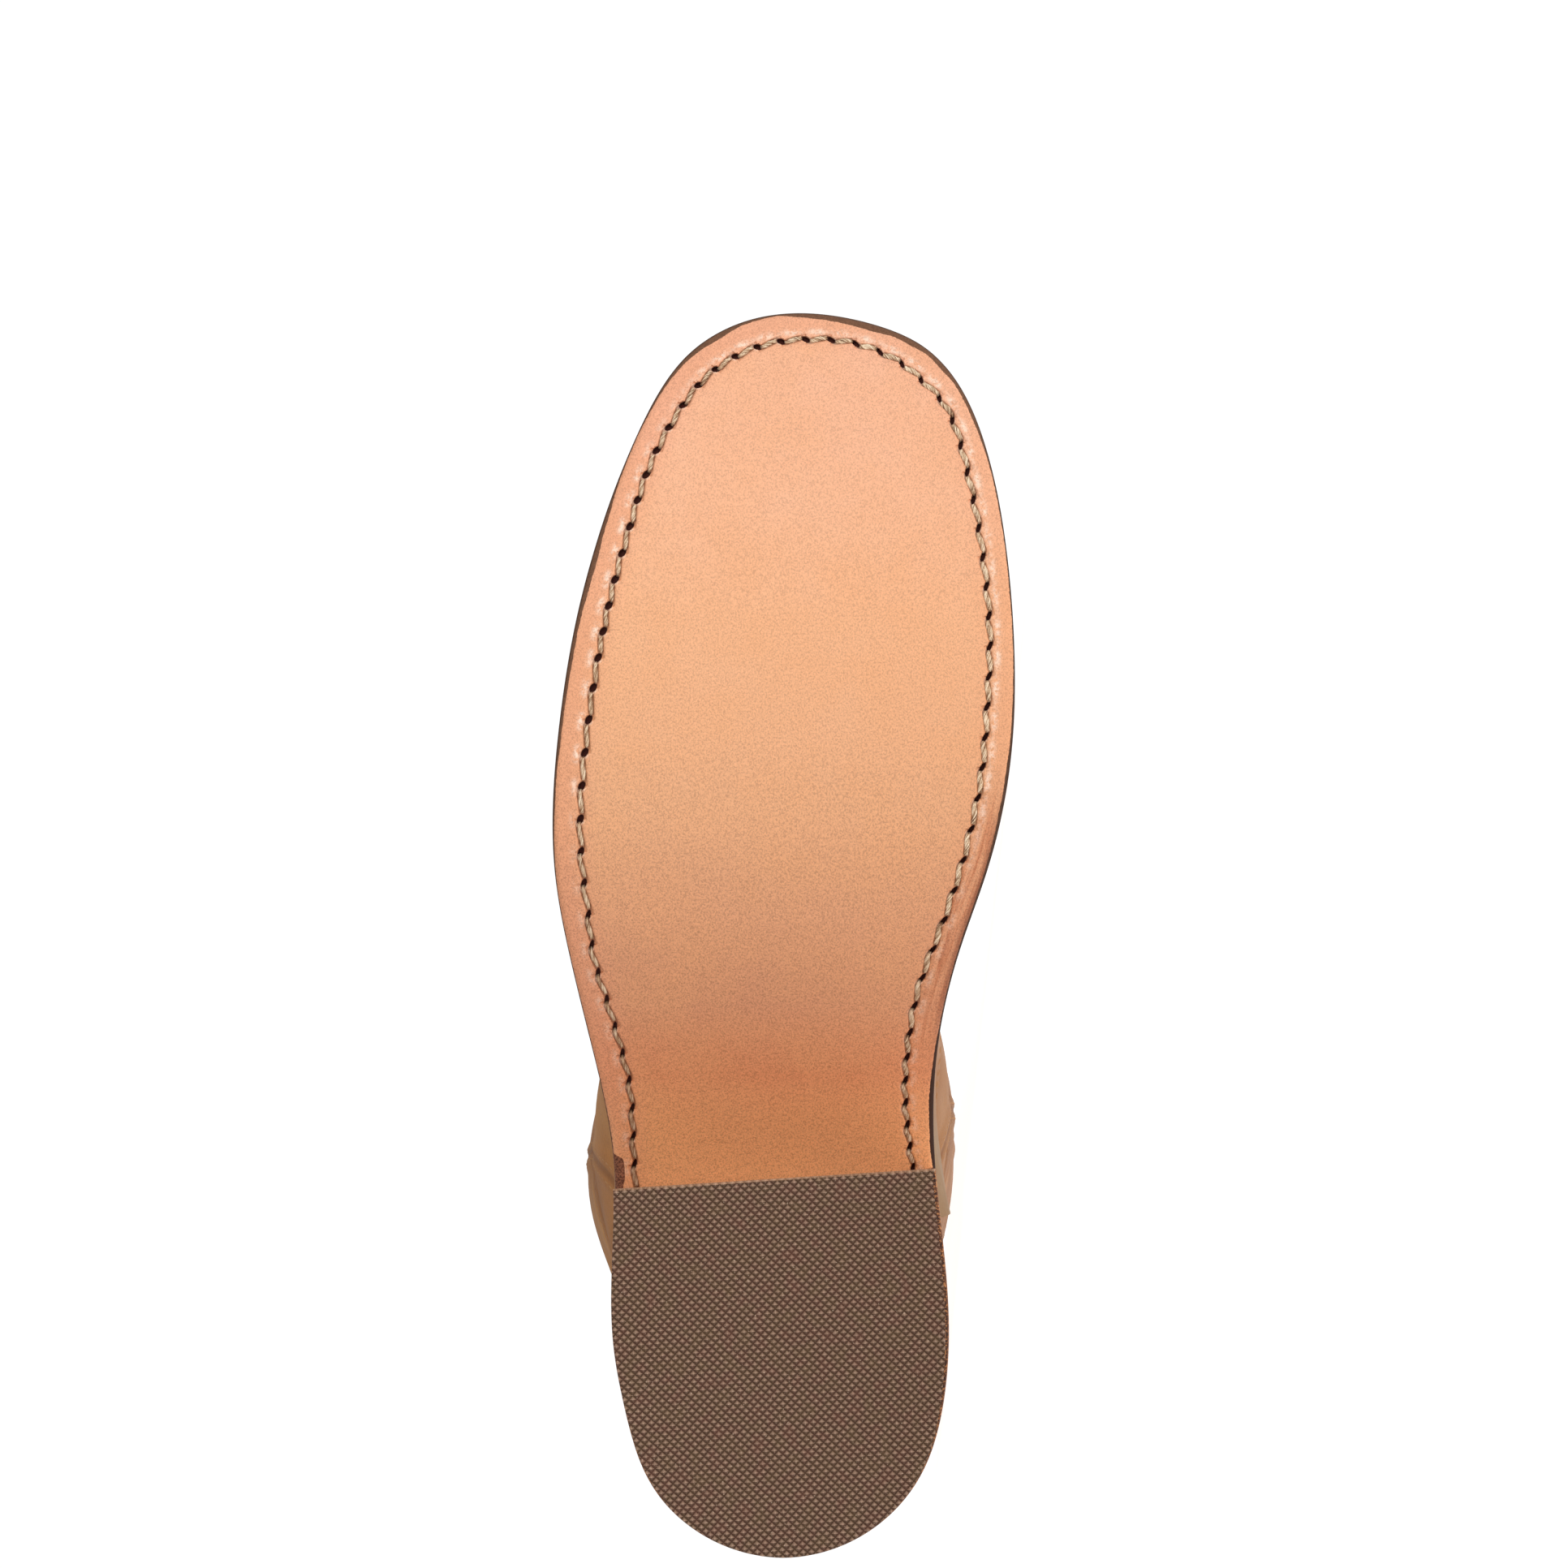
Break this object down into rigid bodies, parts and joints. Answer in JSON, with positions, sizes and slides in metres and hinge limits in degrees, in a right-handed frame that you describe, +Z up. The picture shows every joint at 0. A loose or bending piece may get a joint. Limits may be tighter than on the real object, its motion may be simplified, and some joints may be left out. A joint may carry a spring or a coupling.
{
  "type": "campus boot",
  "caption": "Tall pull-on leather boot for the right foot, lying on its side: hollow upper with vamp and counter, welted leather outsole, stacked heel and knurled rubber top lift.",
  "frame": {"origin": "Bottom centre of the bounding box of the boot as it lies on its medial side.", "axes": "+Z up from the floor, which the medial side touches. +Y runs up the shaft from sole to collar. The toe points to +X and the heel to -X."},
  "size_m": [0.2772, 0.3992, 0.1041],
  "materials": {
    "sole_leather": "vegetable-tanned, finely pebbled, satin",
    "edge_leather": "dark dressed edge, waxed",
    "stack_leather": "stacked and stained, fibrous at the cut edges",
    "upper_leather": "oiled tan pull-up leather, satin",
    "lining_leather": "plain, matt",
    "heel_rubber": "knurled in small diamonds, matt"
  },
  "bodies": {
    "root": {"outsole": "sole_leather", "welt": "edge_leather", "insole": "lining_leather", "top_lift": "heel_rubber", "heel_lift_1": "stack_leather", "heel_lift_2": "stack_leather", "heel_lift_3": "stack_leather", "heel_lift_4": "stack_leather", "heel_lift_5": "stack_leather", "heel_lift_6": "stack_leather", "heel_lift_7": "stack_leather", "heel_lift_8": "stack_leather", "upper": "upper_leather", "vamp": "upper_leather", "counter": "upper_leather"}
  },
  "joints": []
}
